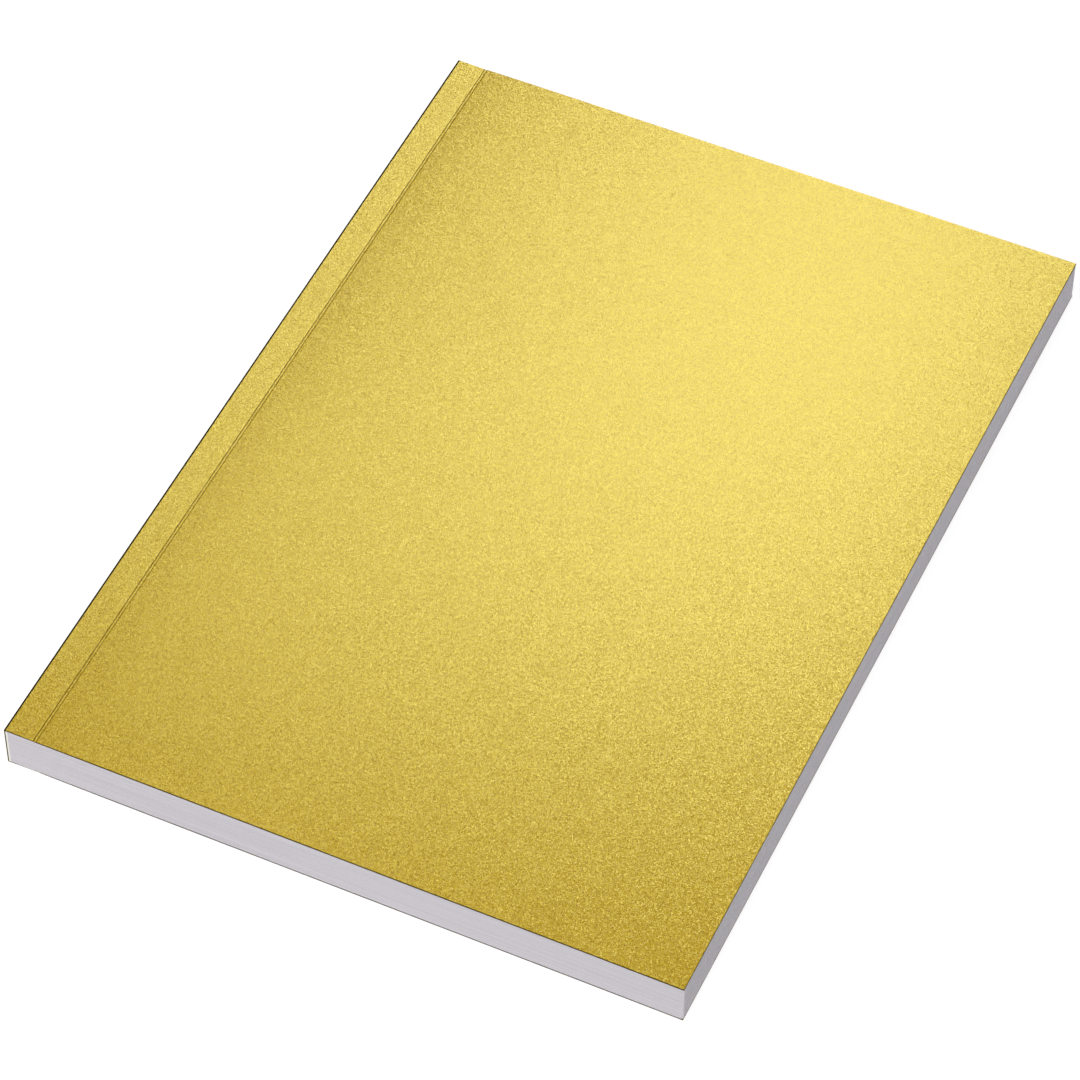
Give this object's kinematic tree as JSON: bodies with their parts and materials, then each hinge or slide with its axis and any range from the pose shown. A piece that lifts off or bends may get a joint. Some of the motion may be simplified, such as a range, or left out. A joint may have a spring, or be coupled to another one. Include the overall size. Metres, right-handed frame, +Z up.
{
  "type": "softcover notebook",
  "caption": "Slim perfect-bound softcover notebook with a square spine, a card cover that opens at a pressed crease on each side, and a flush-trimmed block of plain pages.",
  "frame": {"origin": "under the middle of the closed book, on the surface that its back cover lies on", "axes": "+X from the spine to the fore-edge, +Y from the tail to the head of the page, +Z up out of the front cover"},
  "size_m": [0.1484, 0.21, 0.0103],
  "materials": {
    "cover_card": "pearlescent gold card, dyed through",
    "page_paper": "uncoated, guillotined edges",
    "binding_glue": "cast hot-melt adhesive"
  },
  "bodies": {
    "back_cover": {"back_cover": "cover_card"},
    "book_block": {"page_block": "page_paper", "spine_wrap": "cover_card", "spine_glue": "binding_glue"},
    "front_cover": {"front_cover": "cover_card"}
  },
  "joints": [
    {"name": "back_hinge", "type": "hinge", "parent": "back_cover", "child": "book_block", "pos_m": [-0.06735, 0, 0], "axis": [0, -1, 0], "range_deg": [0, 170]},
    {"name": "front_hinge", "type": "hinge", "parent": "book_block", "child": "front_cover", "pos_m": [-0.06735, 0, 0.01032], "axis": [0, -1, 0], "range_deg": [0, 170]}
  ]
}
